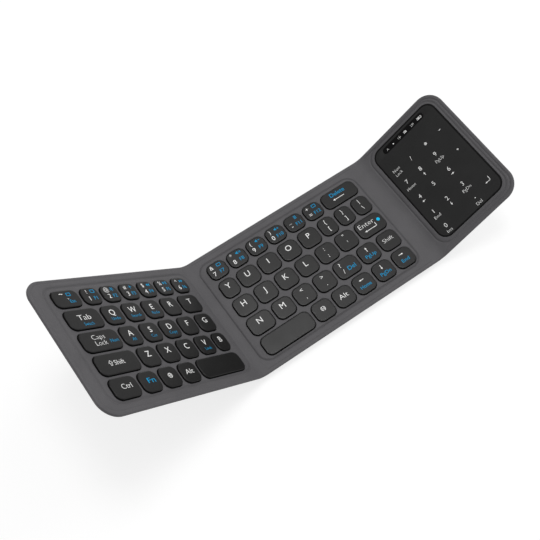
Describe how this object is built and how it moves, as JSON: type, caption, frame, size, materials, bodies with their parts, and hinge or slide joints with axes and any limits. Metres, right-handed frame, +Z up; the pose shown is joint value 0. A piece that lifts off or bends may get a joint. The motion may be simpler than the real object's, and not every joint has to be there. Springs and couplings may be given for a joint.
{
  "type": "folding keyboard",
  "caption": "Three-panel leather-skinned folding keyboard: two hinged outer panels, chiclet keys that press, and a touch plate with a printed number pad on the right panel.",
  "frame": {"origin": "centre of the middle panel's flat underside, which lies on the desk", "axes": "+X runs along the keyboard towards the touch panel, +Y from the front edge to the back edge, +Z up from the desk"},
  "size_m": [0.3098, 0.0958, 0.1024],
  "materials": {
    "leather": "matte, finely grained polyurethane leather",
    "keycap": "satin",
    "black_plastic": "matte",
    "touch_plate": "satin",
    "dark_window": "gloss",
    "silicone": "matte",
    "film": "satin",
    "ribbon": "gloss",
    "circuit_board": "satin",
    "battery_foil": "satin",
    "port_steel": "brushed"
  },
  "bodies": {
    "middle_panel": {"middle_front_skin": "leather", "middle_key_frame": "black_plastic", "middle_dome_sheet": "silicone", "middle_membrane": "film", "middle_tray": "black_plastic", "middle_back_skin": "leather", "left_fold_bands": "leather", "right_fold_bands": "leather", "left_ribbon": "ribbon", "right_ribbon": "ribbon"},
    "left_panel": {"left_front_skin": "leather", "left_key_frame": "black_plastic", "left_dome_sheet": "silicone", "left_membrane": "film", "left_tray": "black_plastic", "left_back_skin": "leather"},
    "right_panel": {"right_front_skin": "leather", "touch_plate": "touch_plate", "indicator_window": "dark_window", "touch_board": "circuit_board", "right_frame": "black_plastic", "battery": "battery_foil", "main_board": "circuit_board", "charging_port": "port_steel", "right_tray": "black_plastic", "right_back_skin": "leather"},
    "key_q": {"key_q": "keycap"},
    "key_w": {"key_w": "keycap"},
    "key_e": {"key_e": "keycap"},
    "key_r": {"key_r": "keycap"},
    "key_t": {"key_t": "keycap"},
    "key_a": {"key_a": "keycap"},
    "key_s": {"key_s": "keycap"},
    "key_d": {"key_d": "keycap"},
    "key_f": {"key_f": "keycap"},
    "key_g": {"key_g": "keycap"},
    "key_z": {"key_z": "keycap"},
    "key_x": {"key_x": "keycap"},
    "key_c": {"key_c": "keycap"},
    "key_v": {"key_v": "keycap"},
    "key_b": {"key_b": "keycap"},
    "key_y": {"key_y": "keycap"},
    "key_u": {"key_u": "keycap"},
    "key_i": {"key_i": "keycap"},
    "key_o": {"key_o": "keycap"},
    "key_p": {"key_p": "keycap"},
    "key_h": {"key_h": "keycap"},
    "key_j": {"key_j": "keycap"},
    "key_k": {"key_k": "keycap"},
    "key_l": {"key_l": "keycap"},
    "key_n": {"key_n": "keycap"},
    "key_m": {"key_m": "keycap"},
    "key_space_left": {"key_space_left": "keycap"},
    "key_space_right": {"key_space_right": "keycap"},
    "key_enter": {"key_enter": "keycap"},
    "keys_arrows": {"keys_arrows": "keycap"},
    "keys_numbers_left": {"keys_numbers_left": "keycap"},
    "keys_numbers_middle": {"keys_numbers_middle": "keycap"},
    "keys_modifiers_left": {"keys_modifiers_left": "keycap"},
    "keys_symbols_middle": {"keys_symbols_middle": "keycap"}
  },
  "joints": [
    {"name": "left_fold", "type": "hinge", "parent": "middle_panel", "child": "left_panel", "pos_m": [-0.0724, 0, 0.0079], "axis": [0, 1, 0], "range_deg": [-44, 136], "deforming": ["left_fold_bands", "left_ribbon"]},
    {"name": "right_fold", "type": "hinge", "parent": "middle_panel", "child": "right_panel", "pos_m": [0.07488, 0, 0.0114], "axis": [0, -1, 0], "range_deg": [-36, 144], "deforming": ["right_fold_bands", "right_ribbon"]},
    {"name": "press_q", "type": "slide", "parent": "left_panel", "child": "key_q", "axis": [-0.6947, 0, -0.7193], "range_m": [0, 0.0012], "stiffness_N_per_m": 400, "springref_m": -0.0004, "deforming": ["left_dome_sheet"]},
    {"name": "press_w", "type": "slide", "parent": "left_panel", "child": "key_w", "axis": [-0.6947, 0, -0.7193], "range_m": [0, 0.0012], "stiffness_N_per_m": 400, "springref_m": -0.0004, "deforming": ["left_dome_sheet"]},
    {"name": "press_e", "type": "slide", "parent": "left_panel", "child": "key_e", "axis": [-0.6947, 0, -0.7193], "range_m": [0, 0.0012], "stiffness_N_per_m": 400, "springref_m": -0.0004, "deforming": ["left_dome_sheet"]},
    {"name": "press_r", "type": "slide", "parent": "left_panel", "child": "key_r", "axis": [-0.6947, 0, -0.7193], "range_m": [0, 0.0012], "stiffness_N_per_m": 400, "springref_m": -0.0004, "deforming": ["left_dome_sheet"]},
    {"name": "press_t", "type": "slide", "parent": "left_panel", "child": "key_t", "axis": [-0.6947, 0, -0.7193], "range_m": [0, 0.0012], "stiffness_N_per_m": 400, "springref_m": -0.0004, "deforming": ["left_dome_sheet"]},
    {"name": "press_a", "type": "slide", "parent": "left_panel", "child": "key_a", "axis": [-0.6947, 0, -0.7193], "range_m": [0, 0.0012], "stiffness_N_per_m": 400, "springref_m": -0.0004, "deforming": ["left_dome_sheet"]},
    {"name": "press_s", "type": "slide", "parent": "left_panel", "child": "key_s", "axis": [-0.6947, 0, -0.7193], "range_m": [0, 0.0012], "stiffness_N_per_m": 400, "springref_m": -0.0004, "deforming": ["left_dome_sheet"]},
    {"name": "press_d", "type": "slide", "parent": "left_panel", "child": "key_d", "axis": [-0.6947, 0, -0.7193], "range_m": [0, 0.0012], "stiffness_N_per_m": 400, "springref_m": -0.0004, "deforming": ["left_dome_sheet"]},
    {"name": "press_f", "type": "slide", "parent": "left_panel", "child": "key_f", "axis": [-0.6947, 0, -0.7193], "range_m": [0, 0.0012], "stiffness_N_per_m": 400, "springref_m": -0.0004, "deforming": ["left_dome_sheet"]},
    {"name": "press_g", "type": "slide", "parent": "left_panel", "child": "key_g", "axis": [-0.6947, 0, -0.7193], "range_m": [0, 0.0012], "stiffness_N_per_m": 400, "springref_m": -0.0004, "deforming": ["left_dome_sheet"]},
    {"name": "press_z", "type": "slide", "parent": "left_panel", "child": "key_z", "axis": [-0.6947, 0, -0.7193], "range_m": [0, 0.0012], "stiffness_N_per_m": 400, "springref_m": -0.0004, "deforming": ["left_dome_sheet"]},
    {"name": "press_x", "type": "slide", "parent": "left_panel", "child": "key_x", "axis": [-0.6947, 0, -0.7193], "range_m": [0, 0.0012], "stiffness_N_per_m": 400, "springref_m": -0.0004, "deforming": ["left_dome_sheet"]},
    {"name": "press_c", "type": "slide", "parent": "left_panel", "child": "key_c", "axis": [-0.6947, 0, -0.7193], "range_m": [0, 0.0012], "stiffness_N_per_m": 400, "springref_m": -0.0004, "deforming": ["left_dome_sheet"]},
    {"name": "press_v", "type": "slide", "parent": "left_panel", "child": "key_v", "axis": [-0.6947, 0, -0.7193], "range_m": [0, 0.0012], "stiffness_N_per_m": 400, "springref_m": -0.0004, "deforming": ["left_dome_sheet"]},
    {"name": "press_b", "type": "slide", "parent": "left_panel", "child": "key_b", "axis": [-0.6947, 0, -0.7193], "range_m": [0, 0.0012], "stiffness_N_per_m": 400, "springref_m": -0.0004, "deforming": ["left_dome_sheet"]},
    {"name": "press_y", "type": "slide", "parent": "middle_panel", "child": "key_y", "axis": [0, 0, -1], "range_m": [0, 0.0012], "stiffness_N_per_m": 400, "springref_m": -0.0004, "deforming": ["middle_dome_sheet"]},
    {"name": "press_u", "type": "slide", "parent": "middle_panel", "child": "key_u", "axis": [0, 0, -1], "range_m": [0, 0.0012], "stiffness_N_per_m": 400, "springref_m": -0.0004, "deforming": ["middle_dome_sheet"]},
    {"name": "press_i", "type": "slide", "parent": "middle_panel", "child": "key_i", "axis": [0, 0, -1], "range_m": [0, 0.0012], "stiffness_N_per_m": 400, "springref_m": -0.0004, "deforming": ["middle_dome_sheet"]},
    {"name": "press_o", "type": "slide", "parent": "middle_panel", "child": "key_o", "axis": [0, 0, -1], "range_m": [0, 0.0012], "stiffness_N_per_m": 400, "springref_m": -0.0004, "deforming": ["middle_dome_sheet"]},
    {"name": "press_p", "type": "slide", "parent": "middle_panel", "child": "key_p", "axis": [0, 0, -1], "range_m": [0, 0.0012], "stiffness_N_per_m": 400, "springref_m": -0.0004, "deforming": ["middle_dome_sheet"]},
    {"name": "press_h", "type": "slide", "parent": "middle_panel", "child": "key_h", "axis": [0, 0, -1], "range_m": [0, 0.0012], "stiffness_N_per_m": 400, "springref_m": -0.0004, "deforming": ["middle_dome_sheet"]},
    {"name": "press_j", "type": "slide", "parent": "middle_panel", "child": "key_j", "axis": [0, 0, -1], "range_m": [0, 0.0012], "stiffness_N_per_m": 400, "springref_m": -0.0004, "deforming": ["middle_dome_sheet"]},
    {"name": "press_k", "type": "slide", "parent": "middle_panel", "child": "key_k", "axis": [0, 0, -1], "range_m": [0, 0.0012], "stiffness_N_per_m": 400, "springref_m": -0.0004, "deforming": ["middle_dome_sheet"]},
    {"name": "press_l", "type": "slide", "parent": "middle_panel", "child": "key_l", "axis": [0, 0, -1], "range_m": [0, 0.0012], "stiffness_N_per_m": 400, "springref_m": -0.0004, "deforming": ["middle_dome_sheet"]},
    {"name": "press_n", "type": "slide", "parent": "middle_panel", "child": "key_n", "axis": [0, 0, -1], "range_m": [0, 0.0012], "stiffness_N_per_m": 400, "springref_m": -0.0004, "deforming": ["middle_dome_sheet"]},
    {"name": "press_m", "type": "slide", "parent": "middle_panel", "child": "key_m", "axis": [0, 0, -1], "range_m": [0, 0.0012], "stiffness_N_per_m": 400, "springref_m": -0.0004, "deforming": ["middle_dome_sheet"]},
    {"name": "press_space_left", "type": "slide", "parent": "left_panel", "child": "key_space_left", "axis": [-0.6947, 0, -0.7193], "range_m": [0, 0.0012], "stiffness_N_per_m": 400, "springref_m": -0.0004, "deforming": ["left_dome_sheet"]},
    {"name": "press_space_right", "type": "slide", "parent": "middle_panel", "child": "key_space_right", "axis": [0, 0, -1], "range_m": [0, 0.0012], "stiffness_N_per_m": 400, "springref_m": -0.0004, "deforming": ["middle_dome_sheet"]},
    {"name": "press_enter", "type": "slide", "parent": "middle_panel", "child": "key_enter", "axis": [0, 0, -1], "range_m": [0, 0.0012], "stiffness_N_per_m": 400, "springref_m": -0.0004, "deforming": ["middle_dome_sheet"]},
    {"name": "press_arrows", "type": "slide", "parent": "middle_panel", "child": "keys_arrows", "axis": [0, 0, -1], "range_m": [0, 0.0012], "stiffness_N_per_m": 1600, "springref_m": -0.0004, "deforming": ["middle_dome_sheet"]},
    {"name": "press_numbers_left", "type": "slide", "parent": "left_panel", "child": "keys_numbers_left", "axis": [-0.6947, 0, -0.7193], "range_m": [0, 0.0012], "stiffness_N_per_m": 2800, "springref_m": -0.0004, "deforming": ["left_dome_sheet"]},
    {"name": "press_numbers_middle", "type": "slide", "parent": "middle_panel", "child": "keys_numbers_middle", "axis": [0, 0, -1], "range_m": [0, 0.0012], "stiffness_N_per_m": 2400, "springref_m": -0.0004, "deforming": ["middle_dome_sheet"]},
    {"name": "press_modifiers_left", "type": "slide", "parent": "left_panel", "child": "keys_modifiers_left", "axis": [-0.6947, 0, -0.7193], "range_m": [0, 0.0012], "stiffness_N_per_m": 2800, "springref_m": -0.0004, "deforming": ["left_dome_sheet"]},
    {"name": "press_symbols_middle", "type": "slide", "parent": "middle_panel", "child": "keys_symbols_middle", "axis": [0, 0, -1], "range_m": [0, 0.0012], "stiffness_N_per_m": 4800, "springref_m": -0.0004, "deforming": ["middle_dome_sheet"]}
  ]
}
